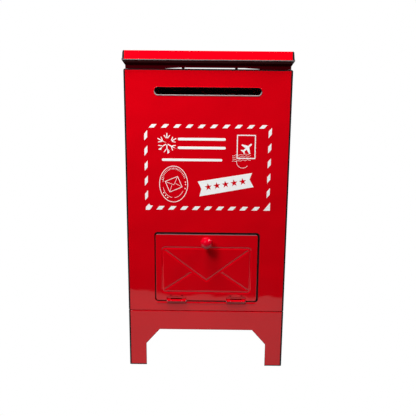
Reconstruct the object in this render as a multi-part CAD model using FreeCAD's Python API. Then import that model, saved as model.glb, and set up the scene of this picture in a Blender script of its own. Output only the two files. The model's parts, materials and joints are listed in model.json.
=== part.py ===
import FreeCAD, Part
import os

from FreeCAD import Vector

# Letter-slot money box of enamelled sheet steel. Millimetres, +Z up, front towards -Y.
# The origin is on the floor, at the middle of the box's overall length and width.

# Driving dimensions
WIDTH = 210.0
DEPTH = 150.0
CASE_TOP = 399.9
SEAM = 80.4
SHEET = 0.8
BEND = 2.0
SEAM_BEND = 1.3
BASE_EDGE = 0.7
RETURN = 12.0
FLANGE = 8.0
LAP_GAP = 0.3

# Slot for letters and notes
SLOT_LENGTH = 133.0
SLOT_HEIGHT = 9.0
SLOT_Z = 373.0
RIM_RADIUS = 0.8
RIM_OUTSIDE = 0.5
RIM_INSET = 0.3

# Door and its opening
OPENING_WIDTH = 137.8
OPENING_BOTTOM = 93.9
OPENING_TOP = 190.1
OPENING_RADIUS = 4.0
SILL_RADIUS = 4.5
SILL_PROUD = 0.4
SILL_DEPTH = 0.6
SILL_Z = 91.7
SILL_LOW = 90.5
SILL_HALF = 66.5
DOOR_GAP = 1.4
DOOR_BOTTOM = 95.1
DOOR_TOP = 188.3
DOOR_RADIUS = 3.0
DOOR_FLANGE = 4.0

# Envelope pressed into the door, half widths and heights
GROOVE_RADIUS = 1.5
GROOVE_DEPTH = 0.8
ENVELOPE_HALF = 58.3
ENVELOPE_BOTTOM = 107.5
ENVELOPE_TOP = 169.5
FLAP_TIP = 123.8
FLAP_HALF = 54.3
FLAP_DROP = 4.0
FOLD_START = (55.0, 110.8)
FOLD_END = (21.0, 134.3)

# Knob, its screw and its washer
KNOB_RADIUS = 8.0
KNOB_REACH = 12.0
KNOB_Z = 180.0
KNOB_NECK_RADIUS = 3.0
KNOB_FOOT_RADIUS = 4.4
SCREW_RADIUS = 1.5
SCREW_DEPTH = 12.0
SCREW_HEAD_RADIUS = 3.0
SCREW_HEAD = 1.6
RECESS_SHARE = 0.6
RECESS_SLIT = 0.25
RECESS_DEPTH = 0.9
WASHER_RADIUS = 3.8
WASHER_THICKNESS = 0.6

# Butt hinges, all four alike
HINGE_WIDTH = 25.0
LEAF = 0.8
LEAF_LENGTH = 9.7
LEAF_NOTCH = 2.8
BARREL_RADIUS = 1.8
OUTER_KNUCKLE = 5.0
KNUCKLE_GAP = 0.3
PIN_RADIUS = 0.8
PIN_CLEARANCE = 0.05
PIN_HEAD_RADIUS = 1.1
PIN_HEAD = 0.4
RIVET_RADIUS = 1.2
RIVET_HEAD_RADIUS = 2.1
RIVET_HEAD = 0.7
RIVET_SPACING = 15.0
RIVET_OFFSET = 7.2
WINDOW_SIDE = 0.4
WINDOW_HALF = 5.0
DOOR_HINGE_X = 40.0
DOOR_AXIS_PROUD = 1.2
DOOR_AXIS_Z = 95.4
LID_HINGE_X = 87.0
LID_AXIS_Z = 397.6

# Leg base
ARCH_TOP = 53.1
ARCH_CHAMFER = 18.5
LEG_TOP = 32.0
LEG_WIDTH = 23.5
SEAM_GAP = 0.4
PAN_FLANGE = 16.0

# Lid
NECK_BOTTOM = 400.0
NECK_ARCH = 401.5
NECK_ARCH_FOOT = 65.0
NECK_ARCH_FLAT = 39.0
NECK_ARCH_SHIFT = 6.0
NECK_TOP = 404.0
NECK_INSET = 2.4
NECK_FLANGE = 6.0
LIP_BOTTOM = 409.8
LIP_TOP = 412.2
LIP_SIDE = 1.0
LIP_FRONT = 5.0
HEM = 1.6
HEM_EDGE = 0.4
HEM_ROUND = 0.7
LID_TOP = 421.8
LID_TOP_SIDE = 0.2
LID_TOP_FRONT = 1.0
LID_EDGE_RADIUS = 1.6
LID_BACK_BOTTOM = 400.1
BACK_FLANGE_INSET = 0.6
LID_RELIEF_HALF = 74.0
BUMPER_X = 33.0
BUMPER_SHIFT = 2.0
BUMPER_RADIUS = 1.8
BUMPER_CLEARANCE = 0.1

# Door stop frame and magnetic catch
STOP_SIDE = 0.6
STOP_WIDTH = 9.0
STOP_LIP = 4.0
STOP_GAP = 0.4
MAGNET_X = 40.0
MAGNET_WIDTH = 18.0
MAGNET_HEIGHT = 5.0
MAGNET_BOTTOM = 179.5
MAGNET_GAP = 0.4
MAGNET_EDGE = 0.6
BRACKET_WIDTH = 24.0
CATCH_RIVET_OFFSET = 8.0

# Places that follow from the sizes above
TINY = 1e-3
FAR = 500.0
CUT = 1.0
HALF = WIDTH / 2
MIDDLE = (KNOB_REACH + KNOB_RADIUS - 2 * BARREL_RADIUS) / 2
FRONT = MIDDLE - DEPTH / 2
BACK = MIDDLE + DEPTH / 2
OPENING_HALF = OPENING_WIDTH / 2
DOOR_HALF = OPENING_HALF - DOOR_GAP
DOOR_BACK = FRONT + DOOR_FLANGE
DOOR_AXIS_Y = FRONT - DOOR_AXIS_PROUD
LID_AXIS_Y = BACK + BARREL_RADIUS
STOP_FACE = DOOR_BACK + STOP_GAP
MAGNET_FACE = FRONT + SHEET + MAGNET_GAP
BASE_TOP = SEAM - SEAM_GAP


def box(x0, x1, y0, y1, z0, z1):
    """A block between two corners."""
    return Part.makeBox(x1 - x0, y1 - y0, z1 - z0, Vector(x0, y0, z0))


def mirrored(shape):
    """The same shape on the other side of the middle plane."""
    return shape.mirror(Vector(0, 0, 0), Vector(1, 0, 0))


def prism_along_y(points, y0, y1):
    """A plate with a polygonal outline given as (x, z), from y0 to y1."""
    corners = [Vector(x, y0, z) for x, z in points]
    face = Part.Face(Part.makePolygon(corners + corners[:1]))
    return face.extrude(Vector(0, y1 - y0, 0))


def prism_along_x(points, x0, x1):
    """A strip with a polygonal section given as (y, z), from x0 to x1."""
    corners = [Vector(x0, y, z) for y, z in points]
    face = Part.Face(Part.makePolygon(corners + corners[:1]))
    return face.extrude(Vector(x1 - x0, 0, 0))


def rod(x, y, z, radius, length, direction):
    """A cylinder that starts at a point."""
    return Part.makeCylinder(radius, length, Vector(x, y, z), direction)


def rounded_plate(half, z0, z1, y0, y1, radius):
    """An upright plate facing the front, with its four corners rounded."""
    plate = box(-half, half, y0, y1, z0, z1)
    corners = [edge for edge in plate.Edges if is_along(edge, Vector(0, 1, 0))]
    return plate.makeFillet(radius, corners)


def is_along(edge, direction):
    """Whether a straight edge runs along a direction."""
    if not isinstance(edge.Curve, Part.Line):
        return False
    return abs(edge.Curve.Direction.dot(direction)) > 1 - 1e-6


def rounded_block(half, y0, y1, z0, z1, radius, bottom_radius=None, top_radius=None):
    """A block with rounded upright and top edges, and rounded bottom edges if a radius is given."""
    block = box(-half, half, y0, y1, z0, z1)
    upright = [edge for edge in block.Edges if is_along(edge, Vector(0, 0, 1))]
    block = block.makeFillet(radius, upright)
    top = [edge for edge in block.Edges if edge.BoundBox.ZMin > z1 - TINY]
    block = block.makeFillet(top_radius or radius, top)
    if bottom_radius:
        bottom = [edge for edge in block.Edges if edge.BoundBox.ZMax < z0 + TINY]
        block = block.makeFillet(bottom_radius, bottom)
    return block


def case_shell(inset=0.0):
    """The upper case as one folded sheet, with turned-in flanges round its top and bottom."""
    half = HALF - inset
    y0 = FRONT + inset
    y1 = BACK - inset
    outer = rounded_block(half, y0, y1, SEAM, CASE_TOP, BEND, SEAM_BEND)
    inner = rounded_block(
        half - SHEET,
        y0 + SHEET,
        y1 - SHEET,
        SEAM + SHEET,
        CASE_TOP - SHEET,
        BEND - SHEET,
        SEAM_BEND - SHEET,
    )
    mouth = HALF - FLANGE
    hole = box(-mouth, mouth, FRONT + FLANGE, BACK - FLANGE, 0, FAR)
    return outer.cut([inner, hole])


def base_shell():
    """The leg base's outer wall as one folded sheet, open above and below."""
    outer = rounded_block(HALF, FRONT, BACK, 0, BASE_TOP, BEND, top_radius=BASE_EDGE)
    inner = box(-HALF + SHEET, HALF - SHEET, FRONT + SHEET, BACK - SHEET, 0, BASE_TOP)
    upright = [edge for edge in inner.Edges if is_along(edge, Vector(0, 0, 1))]
    return outer.cut(inner.makeFillet(BEND - SHEET, upright))


def stadium(half_length, half_height, z, y0, y1):
    """A plug with round ends, used to cut the slot."""
    straight = half_length - half_height
    middle = box(-straight, straight, y0, y1, z - half_height, z + half_height)
    ends = [
        rod(side * straight, y0, z, half_height, y1 - y0, Vector(0, 1, 0))
        for side in (-1, 1)
    ]
    return middle.fuse(ends).removeSplitter()


def hinge_window(side):
    """The window round a door hinge's barrel, half in the door and half in the front panel."""
    half = HINGE_WIDTH / 2 + WINDOW_SIDE
    x = side * DOOR_HINGE_X
    low = DOOR_AXIS_Z - WINDOW_HALF
    high = DOOR_AXIS_Z + WINDOW_HALF
    return box(x - half, x + half, FRONT - CUT, FRONT + SHEET + CUT, low, high)


def rivet_places(hinge_x, z):
    """Centres (x, z) of the four rivets of a pair of leaves at one height."""
    places = []
    for side in (-1, 1):
        for end in (-1, 1):
            places.append((side * hinge_x + end * RIVET_SPACING / 2, z))
    return places


def shanks(places, y0, y1):
    """Plain round bars along Y at the given places."""
    return [rod(x, y0, z, RIVET_RADIUS, y1 - y0, Vector(0, 1, 0)) for x, z in places]


DOOR_CASE_RIVETS = rivet_places(DOOR_HINGE_X, DOOR_AXIS_Z - RIVET_OFFSET)
DOOR_LEAF_RIVETS = rivet_places(DOOR_HINGE_X, DOOR_AXIS_Z + RIVET_OFFSET)
LID_CASE_RIVETS = rivet_places(LID_HINGE_X, LID_AXIS_Z - RIVET_OFFSET)
LID_LEAF_RIVETS = rivet_places(LID_HINGE_X, LID_AXIS_Z + RIVET_OFFSET)
CATCH_RIVETS = [
    (MAGNET_X - CATCH_RIVET_OFFSET, OPENING_TOP - STOP_LIP / 2 + STOP_SIDE),
    (MAGNET_X + CATCH_RIVET_OFFSET, OPENING_TOP - STOP_LIP / 2 + STOP_SIDE),
]


def slot_rim():
    """Rolled bead all round the slot."""
    y = FRONT + RIM_INSET
    turn = SLOT_HEIGHT / 2 + RIM_OUTSIDE
    straight = (SLOT_LENGTH - SLOT_HEIGHT) / 2
    beads = []
    for side in (-1, 1):
        z = SLOT_Z + side * turn
        beads.append(rod(-straight, y, z, RIM_RADIUS, 2 * straight, Vector(1, 0, 0)))
        end = Vector(side * straight, y, SLOT_Z)
        ring = Part.makeTorus(turn, RIM_RADIUS, end, Vector(0, 1, 0))
        beyond = sorted((side * straight, side * FAR))
        beads.append(ring.common(box(*beyond, -FAR, FAR, 0, FAR)))
    return beads


def sill_bead():
    """Shallow bead along the front panel, under the door opening."""
    y = FRONT - SILL_PROUD + SILL_RADIUS
    bead = rod(-SILL_HALF, y, SILL_Z, SILL_RADIUS, 2 * SILL_HALF, Vector(1, 0, 0))
    return bead.common(box(-FAR, FAR, -FAR, FRONT + SILL_DEPTH, SILL_LOW, FAR))


def front_panel():
    """Front of the case: slot, door opening, hinge windows and returns round its four edges."""
    panel = case_shell().common(box(-FAR, FAR, -FAR, FRONT + RETURN, 0, FAR))
    y0 = FRONT - CUT
    y1 = FRONT + SHEET + CUT
    slot = stadium(SLOT_LENGTH / 2, SLOT_HEIGHT / 2, SLOT_Z, y0, y1)
    opening = rounded_plate(OPENING_HALF, OPENING_BOTTOM, OPENING_TOP, y0, y1, OPENING_RADIUS)
    windows = [hinge_window(side) for side in (-1, 1)]
    panel = panel.cut([slot, opening] + shanks(DOOR_CASE_RIVETS, y0, y1))
    return panel.fuse([sill_bead()] + slot_rim()).cut(windows)


def back_panel():
    """Back of the case, with the same returns and the rivet holes of the lid's hinges."""
    panel = case_shell().common(box(-FAR, FAR, BACK - RETURN, FAR, 0, FAR))
    return panel.cut(shanks(LID_CASE_RIVETS, BACK - SHEET - CUT, BACK + CUT))


def side_panel():
    """Right side of the case: a sheet inside the returns of the front and back, with its own flanges."""
    outside = HALF - SHEET
    low = SEAM + BEND
    sheet = box(outside - SHEET, outside, FRONT + BEND, BACK - BEND, low, CASE_TOP - BEND)
    clear = RETURN + LAP_GAP
    between = box(0, FAR, FRONT + clear, BACK - clear, 0, FAR)
    return sheet.fuse(case_shell(SHEET).common(between)).removeSplitter()


def floor_pan():
    """Tray under the case that ties it to the leg base, with flanges turned down inside the skirts."""
    half = HALF - 2 * SHEET
    bottom = SEAM - PAN_FLANGE
    pan = rounded_block(half, FRONT + SHEET, BACK - SHEET, bottom, SEAM, BEND)
    hollow = rounded_block(
        half - SHEET,
        FRONT + 2 * SHEET,
        BACK - 2 * SHEET,
        bottom,
        SEAM - SHEET,
        BEND - SHEET,
    )
    return pan.cut(hollow)


def arch_outline(middle, half, chamfer):
    """Outline of the gap between two legs: straight jambs, then a chamfer up to a flat top."""
    jamb = half - LEG_WIDTH
    top = jamb - chamfer
    return [
        (middle - jamb, -CUT),
        (middle + jamb, -CUT),
        (middle + jamb, LEG_TOP),
        (middle + top, ARCH_TOP),
        (middle - top, ARCH_TOP),
        (middle - jamb, LEG_TOP),
    ]


def front_leg_skirt():
    """Front of the leg base: an arch between two legs, with returns round the corners."""
    skirt = base_shell().common(box(-FAR, FAR, -FAR, FRONT + RETURN, 0, FAR))
    arch = prism_along_y(arch_outline(0, HALF, ARCH_CHAMFER), FRONT - CUT, FRONT + RETURN + CUT)
    return skirt.cut(arch)


def back_leg_skirt():
    """Back of the leg base, the same as its front."""
    return front_leg_skirt().mirror(Vector(0, MIDDLE, 0), Vector(0, 1, 0))


def side_leg_skirt():
    """Right side of the leg base: a flat sheet inside the corner returns, with its own arch."""
    outside = HALF - SHEET
    sheet = box(outside - SHEET, outside, FRONT + BEND, BACK - BEND, 0, BASE_TOP)
    outline = arch_outline(MIDDLE, DEPTH / 2, ARCH_CHAMFER)
    return sheet.cut(prism_along_x(outline, outside - SHEET - CUT, outside + CUT))


def three_sided(outer_half, outer_top, inner_half, inner_top, y0, y1):
    """A flat band over the top and down both sides of the door opening."""
    outer = box(-outer_half, outer_half, y0, y1, OPENING_BOTTOM, outer_top)
    inner = box(-inner_half, inner_half, y0, y1, OPENING_BOTTOM, inner_top)
    return outer.cut(inner)


def door_stop_frame():
    """Stepped frame behind the door opening: flange on the panel, web, and the lip that stops the door."""
    face = FRONT + SHEET
    web_half = OPENING_HALF + STOP_SIDE
    web_top = OPENING_TOP + STOP_SIDE
    flange = three_sided(
        web_half + STOP_WIDTH, web_top + STOP_WIDTH, web_half, web_top, face, face + SHEET
    )
    web = three_sided(
        web_half + SHEET, web_top + SHEET, web_half, web_top, face, STOP_FACE + SHEET
    )
    lip = three_sided(
        web_half + SHEET,
        web_top + SHEET,
        OPENING_HALF - STOP_LIP,
        OPENING_TOP - STOP_LIP,
        STOP_FACE,
        STOP_FACE + SHEET,
    )
    frame = flange.fuse([web, lip]).removeSplitter()
    return frame.cut(shanks(CATCH_RIVETS, FRONT, STOP_FACE + SHEET + CUT))


def catch_bracket():
    """Angle plate riveted behind the stop frame's top lip, with a ledge under the magnet."""
    back = STOP_FACE + SHEET
    x0 = MAGNET_X - BRACKET_WIDTH / 2
    x1 = MAGNET_X + BRACKET_WIDTH / 2
    plate = box(x0, x1, back, back + SHEET, MAGNET_BOTTOM - SHEET, OPENING_TOP + STOP_SIDE)
    ledge = box(x0, x1, MAGNET_FACE + SHEET, back, MAGNET_BOTTOM - SHEET, MAGNET_BOTTOM)
    holes = shanks(CATCH_RIVETS, back - CUT, back + SHEET + CUT)
    return plate.fuse(ledge).removeSplitter().cut(holes)


def catch_magnet():
    """Bar magnet that holds the closed door."""
    half = MAGNET_WIDTH / 2
    top = MAGNET_BOTTOM + MAGNET_HEIGHT
    bar = box(
        MAGNET_X - half, MAGNET_X + half, MAGNET_FACE, STOP_FACE + SHEET, MAGNET_BOTTOM, top
    )
    return bar.makeFillet(MAGNET_EDGE, [e for e in bar.Edges if is_along(e, Vector(0, 1, 0))])


def knuckle_spans(outer):
    """Stretches (from, to) of a hinge's length taken by one leaf's knuckles."""
    half = HINGE_WIDTH / 2
    if outer:
        return [(-half, OUTER_KNUCKLE - half), (half - OUTER_KNUCKLE, half)]
    inside = half - OUTER_KNUCKLE - KNUCKLE_GAP
    return [(-inside, inside)]


def hinge_leaf(x, axis_y, axis_z, plate_y, direction, outer, rivets):
    """One leaf: a plate that starts clear of the other leaf's knuckles, and its own knuckles."""
    half = HINGE_WIDTH / 2
    notch = sorted((axis_z, axis_z + direction * LEAF_NOTCH))
    reach = sorted((axis_z + direction * LEAF_NOTCH, axis_z + direction * LEAF_LENGTH))
    web = sorted((axis_z, axis_z + direction * LEAF))
    plate = box(x - half, x + half, plate_y, plate_y + LEAF, *reach)
    pieces = []
    for start, stop in knuckle_spans(outer):
        x0 = x + start
        x1 = x + stop
        pieces.append(box(x0, x1, plate_y, plate_y + LEAF, *notch))
        pieces.append(box(x0, x1, min(axis_y, plate_y), max(axis_y, plate_y + LEAF), *web))
        pieces.append(rod(x0, axis_y, axis_z, BARREL_RADIUS, x1 - x0, Vector(1, 0, 0)))
    bore_radius = PIN_RADIUS + PIN_CLEARANCE
    bore = rod(
        x - half - CUT, axis_y, axis_z, bore_radius, HINGE_WIDTH + 2 * CUT, Vector(1, 0, 0)
    )
    leaf = plate.fuse(pieces).removeSplitter()
    return leaf.cut([bore] + shanks(rivets, plate_y - CUT, plate_y + LEAF + CUT))


def hinge_pin(x, axis_y, axis_z):
    """A hinge's pin, with a small head at each end."""
    half = HINGE_WIDTH / 2
    along = Vector(1, 0, 0)
    pin = rod(x - half, axis_y, axis_z, PIN_RADIUS, HINGE_WIDTH, along)
    heads = [
        rod(x - half - PIN_HEAD, axis_y, axis_z, PIN_HEAD_RADIUS, PIN_HEAD, along),
        rod(x + half, axis_y, axis_z, PIN_HEAD_RADIUS, PIN_HEAD, along),
    ]
    return pin.fuse(heads).removeSplitter()


def domed_head(x, y, z, direction):
    """A rivet's low domed head, standing from y in the given direction along Y."""
    sphere_radius = (RIVET_HEAD_RADIUS**2 + RIVET_HEAD**2) / (2 * RIVET_HEAD)
    centre = y - direction * (sphere_radius - RIVET_HEAD)
    ball = Part.makeSphere(sphere_radius, Vector(x, centre, z))
    y0, y1 = sorted((y, y + direction * RIVET_HEAD))
    reach = RIVET_HEAD_RADIUS
    return ball.common(box(x - reach, x + reach, y0, y1, z - reach, z + reach))


def rivets(places, y0, y1, head_front, head_back):
    """Rivets with shanks from y0 to y1, and domed heads at the ends asked for."""
    made = []
    for (x, z), shank in zip(places, shanks(places, y0, y1)):
        heads = []
        if head_front:
            heads.append(domed_head(x, y0, z, -1))
        if head_back:
            heads.append(domed_head(x, y1, z, 1))
        made.append(shank.fuse(heads).removeSplitter())
    return Part.makeCompound(made)


def frustum(low, high):
    """A block between two rectangles, each given as (half width, front y, back y, z)."""
    half_low, front_low, back_low, z_low = low
    half_high, front_high, back_high, z_high = high
    reach = max(half_low, half_high)
    across = [(-half_low, z_low), (half_low, z_low), (half_high, z_high), (-half_high, z_high)]
    along = [(front_low, z_low), (back_low, z_low), (back_high, z_high), (front_high, z_high)]
    front = min(front_low, front_high)
    back = max(back_low, back_high)
    return prism_along_y(across, front, back).common(prism_along_x(along, -reach, reach))


def lid_cover():
    """Top of the lid: a flat top, sides that lean in, a hemmed lip on three sides, a flange at the back."""
    lip_half = HALF + LIP_SIDE
    lip_front = FRONT - LIP_FRONT
    top_half = HALF + LID_TOP_SIDE
    top_front = FRONT - LID_TOP_FRONT
    low = (lip_half - HEM_EDGE, lip_front + HEM_EDGE, BACK, LIP_TOP)
    high = (top_half, top_front, BACK, LID_TOP)
    crown = frustum(low, high)
    round_edges = [e for e in crown.Edges if e.BoundBox.ZMax > LID_TOP - TINY]
    front_and_sides = [e for e in round_edges if e.BoundBox.YMin < BACK - TINY]
    crown = crown.makeFillet(LID_EDGE_RADIUS, front_and_sides)
    low_inside = (low[0] - SHEET, low[1] + SHEET, BACK - SHEET, LIP_TOP)
    high_inside = (top_half - SHEET, top_front + SHEET, BACK - SHEET, LID_TOP - SHEET)
    crown = crown.cut(frustum(low_inside, high_inside))
    hem = box(-lip_half, lip_half, lip_front, BACK, LIP_BOTTOM, LIP_TOP)
    outer_edges = [e for e in hem.Edges if e.BoundBox.YMin < BACK - TINY]
    hem = hem.makeFillet(HEM_ROUND, outer_edges)
    inside = lip_half - HEM
    hem = hem.cut(box(-inside, inside, lip_front + HEM, FAR, 0, FAR))
    flange_half = HALF - BACK_FLANGE_INSET
    flange = box(-flange_half, flange_half, BACK - SHEET, BACK, LID_BACK_BOTTOM, LIP_TOP)
    relief = box(
        -LID_RELIEF_HALF, LID_RELIEF_HALF, BACK - SHEET, BACK, LID_BACK_BOTTOM, NECK_ARCH
    )
    cover = crown.fuse([hem, flange]).removeSplitter().cut(relief)
    return cover.cut(shanks(LID_LEAF_RIVETS, BACK - SHEET - CUT, BACK + CUT))


def neck_arch(front, lift):
    """The bow under the front of the neck, raised by lift."""
    low = NECK_BOTTOM + lift
    high = NECK_ARCH + lift
    left_foot = NECK_ARCH_SHIFT - NECK_ARCH_FOOT
    right_foot = NECK_ARCH_SHIFT + NECK_ARCH_FOOT
    outline = [
        (left_foot, NECK_BOTTOM - CUT),
        (left_foot, low),
        (NECK_ARCH_SHIFT - NECK_ARCH_FLAT, high),
        (NECK_ARCH_SHIFT + NECK_ARCH_FLAT, high),
        (right_foot, low),
        (right_foot, NECK_BOTTOM - CUT),
    ]
    return prism_along_y(outline, front - CUT, front + NECK_FLANGE + CUT)


def lid_rim():
    """Rim under the lip: a facet that turns in to the neck, and a flange round its bottom."""
    lip = (HALF + LIP_SIDE - HEM_EDGE, FRONT - LIP_FRONT + HEM_EDGE, BACK - SHEET, LIP_BOTTOM)
    neck_half = HALF - NECK_INSET
    neck_front = FRONT + NECK_INSET
    neck = (neck_half, neck_front, BACK - SHEET, NECK_TOP)
    facet = frustum(neck, lip)
    collar = box(-neck_half, neck_half, neck_front, BACK - SHEET, NECK_BOTTOM, NECK_TOP)
    lip_inside = (lip[0] - SHEET, lip[1] + SHEET, FAR, LIP_BOTTOM)
    neck_inside = (neck_half - SHEET, neck_front + SHEET, FAR, NECK_TOP)
    hollow = frustum(neck_inside, lip_inside)
    well = box(
        SHEET - neck_half,
        neck_half - SHEET,
        neck_front + SHEET,
        FAR,
        NECK_BOTTOM + SHEET,
        NECK_TOP,
    )
    well = well.cut(neck_arch(neck_front, SHEET))
    mouth = neck_half - NECK_FLANGE
    hole = box(-mouth, mouth, neck_front + NECK_FLANGE, FAR, 0, FAR)
    rim = facet.fuse(collar).removeSplitter()
    return rim.cut([hollow, well, hole, neck_arch(neck_front, 0)])


def lid_bumpers():
    """Two soft pads that the lid rests on, stuck under its rim a little to the right."""
    y = FRONT + NECK_INSET + NECK_FLANGE / 2
    low = CASE_TOP + BUMPER_CLEARANCE
    height = NECK_ARCH - low
    pads = []
    for side in (-1, 1):
        x = BUMPER_SHIFT + side * BUMPER_X
        pads.append(rod(x, y, low, BUMPER_RADIUS, height, Vector(0, 0, 1)))
    return Part.makeCompound(pads)


def bar_between(start, stop, radius):
    """A round-ended bar between two points (x, z), with its axis in front of the door."""
    y = FRONT + GROOVE_DEPTH - GROOVE_RADIUS
    a = Vector(start[0], y, start[1])
    b = Vector(stop[0], y, stop[1])
    line = b - a
    bar = Part.makeCylinder(radius, line.Length, a, line)
    return bar.fuse([Part.makeSphere(radius, a), Part.makeSphere(radius, b)])


def envelope_bars(radius):
    """The envelope in bars: its outline, the flap's two edges and two short folds below."""
    outline = [
        (-ENVELOPE_HALF, ENVELOPE_BOTTOM),
        (ENVELOPE_HALF, ENVELOPE_BOTTOM),
        (ENVELOPE_HALF, ENVELOPE_TOP),
        (-ENVELOPE_HALF, ENVELOPE_TOP),
    ]
    bars = []
    for index, corner in enumerate(outline):
        bars.append(bar_between(corner, outline[(index + 1) % len(outline)], radius))
    for side in (-1, 1):
        flap_corner = (side * FLAP_HALF, ENVELOPE_TOP - FLAP_DROP)
        bars.append(bar_between(flap_corner, (0, FLAP_TIP), radius))
        fold_start = (side * FOLD_START[0], FOLD_START[1])
        bars.append(bar_between(fold_start, (side * FOLD_END[0], FOLD_END[1]), radius))
    return bars[0].fuse(bars[1:])


def door_panel():
    """Door: a sheet with rounded corners, flanges behind it, and grooves pressed into its face."""
    back = FRONT + SHEET
    sheet = rounded_plate(DOOR_HALF, DOOR_BOTTOM, DOOR_TOP, FRONT, back, DOOR_RADIUS)
    outer = rounded_plate(DOOR_HALF, DOOR_BOTTOM, DOOR_TOP, back, DOOR_BACK, DOOR_RADIUS)
    inner = rounded_plate(
        DOOR_HALF - SHEET,
        DOOR_BOTTOM + SHEET,
        DOOR_TOP - SHEET,
        back,
        DOOR_BACK,
        DOOR_RADIUS - SHEET,
    )
    low = DOOR_AXIS_Z + WINDOW_HALF
    open_bottom = box(-FAR, FAR, back, DOOR_BACK, 0, low)
    flange = outer.cut([inner, open_bottom])
    behind = box(-FAR, FAR, FRONT + SHEET / 2, DOOR_BACK, 0, FAR)
    ridges = envelope_bars(GROOVE_RADIUS + SHEET).common(behind)
    door = sheet.fuse([flange, ridges]).removeSplitter().cut(envelope_bars(GROOVE_RADIUS))
    windows = [hinge_window(side) for side in (-1, 1)]
    hole = rod(0, FRONT - CUT, KNOB_Z, SCREW_RADIUS, SHEET + 2 * CUT, Vector(0, 1, 0))
    return door.cut(windows + [hole] + shanks(DOOR_LEAF_RIVETS, FRONT - CUT, back + CUT))


def door_knob():
    """Ball knob on a short neck, bored for its screw."""
    centre = FRONT - KNOB_REACH
    ball = Part.makeSphere(KNOB_RADIUS, Vector(0, centre, KNOB_Z))
    neck = Part.makeCone(
        KNOB_FOOT_RADIUS, KNOB_NECK_RADIUS, KNOB_REACH, Vector(0, FRONT, KNOB_Z), Vector(0, -1, 0)
    )
    bore = rod(0, FRONT, KNOB_Z, SCREW_RADIUS, SCREW_DEPTH, Vector(0, -1, 0))
    return ball.fuse(neck).removeSplitter().cut(bore)


def knob_washer():
    """Washer between the door's back and the head of the knob's screw."""
    back = FRONT + SHEET
    disc = rod(0, back, KNOB_Z, WASHER_RADIUS, WASHER_THICKNESS, Vector(0, 1, 0))
    return disc.cut(rod(0, back, KNOB_Z, SCREW_RADIUS, WASHER_THICKNESS, Vector(0, 1, 0)))


def knob_screw():
    """Pan-head screw that holds the knob from inside the door, with a cross recess."""
    seat = FRONT + SHEET + WASHER_THICKNESS
    length = SCREW_DEPTH + SHEET + WASHER_THICKNESS
    shank = rod(0, seat, KNOB_Z, SCREW_RADIUS, length, Vector(0, -1, 0))
    head = rod(0, seat, KNOB_Z, SCREW_HEAD_RADIUS, SCREW_HEAD, Vector(0, 1, 0))
    rim = [e for e in head.Edges if e.BoundBox.YMin > seat + SCREW_HEAD - TINY]
    head = head.makeFillet(SCREW_HEAD / 2, rim)
    top = seat + SCREW_HEAD
    wide = SCREW_HEAD_RADIUS * RECESS_SHARE
    thin = wide * RECESS_SLIT
    recess = [
        box(-wide, wide, top - RECESS_DEPTH, top, KNOB_Z - thin, KNOB_Z + thin),
        box(-thin, thin, top - RECESS_DEPTH, top, KNOB_Z - wide, KNOB_Z + wide),
    ]
    return shank.fuse(head).removeSplitter().cut(recess)


def case_pieces():
    """The pieces that stay still."""
    right_side = side_panel()
    right_skirt = side_leg_skirt()
    back_of_leaf = BACK + LEAF
    door_leaf_back = FRONT + SHEET + LEAF
    return {
        "front_panel": front_panel(),
        "back_panel": back_panel(),
        "right_side_panel": right_side,
        "left_side_panel": mirrored(right_side),
        "floor_pan": floor_pan(),
        "front_leg_skirt": front_leg_skirt(),
        "back_leg_skirt": back_leg_skirt(),
        "right_leg_skirt": right_skirt,
        "left_leg_skirt": mirrored(right_skirt),
        "door_stop_frame": door_stop_frame(),
        "catch_bracket": catch_bracket(),
        "catch_magnet": catch_magnet(),
        "catch_rivets": rivets(CATCH_RIVETS, STOP_FACE, STOP_FACE + 2 * SHEET, False, True),
        "door_hinge_case_rivets": rivets(DOOR_CASE_RIVETS, FRONT, door_leaf_back, False, True),
        "lid_hinge_case_rivets": rivets(LID_CASE_RIVETS, BACK - SHEET, back_of_leaf, True, True),
    }


def lid_pieces():
    """The pieces that swing with the lid, apart from its hinges."""
    return {
        "lid_cover": lid_cover(),
        "lid_rim": lid_rim(),
        "lid_bumpers": lid_bumpers(),
        "lid_hinge_lid_rivets": rivets(LID_LEAF_RIVETS, BACK - SHEET, BACK + LEAF, True, True),
    }


def door_pieces():
    """The pieces that swing with the door, apart from its hinges."""
    back_of_leaf = FRONT + SHEET + LEAF
    return {
        "door_panel": door_panel(),
        "door_knob": door_knob(),
        "knob_washer": knob_washer(),
        "knob_screw": knob_screw(),
        "door_hinge_door_rivets": rivets(DOOR_LEAF_RIVETS, FRONT, back_of_leaf, False, True),
    }


def hinge_pieces(name, mover, hinge_x, axis_y, axis_z, plate_y, case_rivets, mover_rivets):
    """Leaves and pins of the left and right hinge of the lid or the door."""
    pieces = {}
    for side, word in ((-1, "left"), (1, "right")):
        x = side * hinge_x
        case_leaf = hinge_leaf(x, axis_y, axis_z, plate_y, -1, False, case_rivets)
        mover_leaf = hinge_leaf(x, axis_y, axis_z, plate_y, 1, True, mover_rivets)
        pieces[f"{name}_hinge_{word}_case_leaf"] = case_leaf
        pieces[f"{name}_hinge_{word}_{mover}_leaf"] = mover_leaf
        pieces[f"{name}_hinge_{word}_pin"] = hinge_pin(x, axis_y, axis_z)
    return pieces


def all_pieces():
    """Every piece of the money box, by name."""
    pieces = {**case_pieces(), **lid_pieces(), **door_pieces()}
    pieces.update(
        hinge_pieces(
            "door",
            "door",
            DOOR_HINGE_X,
            DOOR_AXIS_Y,
            DOOR_AXIS_Z,
            FRONT + SHEET,
            DOOR_CASE_RIVETS,
            DOOR_LEAF_RIVETS,
        )
    )
    pieces.update(
        hinge_pieces(
            "lid",
            "lid",
            LID_HINGE_X,
            LID_AXIS_Y,
            LID_AXIS_Z,
            BACK,
            LID_CASE_RIVETS,
            LID_LEAF_RIVETS,
        )
    )
    return pieces


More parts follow.
